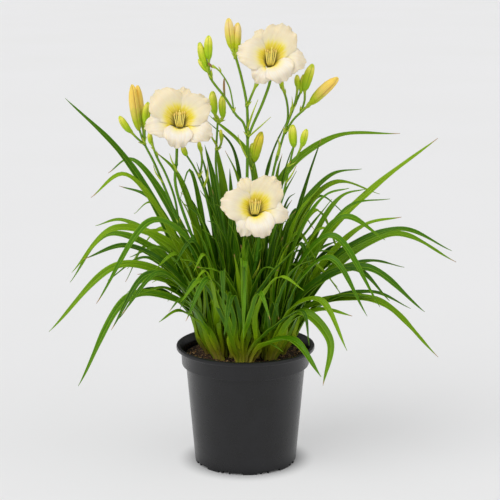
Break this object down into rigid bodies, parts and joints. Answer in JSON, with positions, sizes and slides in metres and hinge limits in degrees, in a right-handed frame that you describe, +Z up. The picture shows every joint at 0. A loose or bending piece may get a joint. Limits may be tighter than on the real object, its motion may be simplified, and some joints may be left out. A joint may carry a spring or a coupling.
{
  "type": "daylily plant in a nursery pot",
  "caption": "Flowering daylily clump with arching strap leaves, pale cream trumpet blooms with yellow throats and buds on branched stems, growing in a round dark nursery pot of compost.",
  "frame": {"origin": "middle of the flat underside of the pot, on the surface that it stands on", "axes": "+Z up through the plant, -Y towards the side that the blooms face, +X to the right of someone looking at the blooms"},
  "size_m": [0.5518, 0.4046, 0.6091],
  "materials": {
    "pot": "satin",
    "soil": "matte",
    "leaf": "satin",
    "stem": "satin",
    "petal": "matte",
    "stamen": "matte",
    "cream_bud": "satin",
    "yellow_bud": "satin",
    "green_bud": "satin"
  },
  "bodies": {
    "root": {"pot": "pot", "soil": "soil", "fan_left": "leaf", "fan_left_front": "leaf", "fan_front": "leaf", "fan_right_front": "leaf", "fan_right": "leaf", "fan_right_back": "leaf", "fan_back": "leaf", "fan_left_back": "leaf", "scape_main": "stem", "scape_right": "stem", "scape_left": "stem", "scape_bloom_left": "stem", "scape_bud_left": "stem", "scape_pair": "stem", "scape_right_low": "stem", "scape_mid": "stem", "scape_bloom_centre": "stem", "bud_top_a": "cream_bud", "bud_top_b": "cream_bud", "bud_left_a": "yellow_bud", "bud_left_b": "yellow_bud", "bud_right": "yellow_bud", "bud_mid": "green_bud", "bloom_left": "petal", "stamens_left": "stamen", "bloom_top": "petal", "stamens_top": "stamen", "bloom_centre": "petal", "stamens_centre": "stamen"}
  },
  "joints": []
}
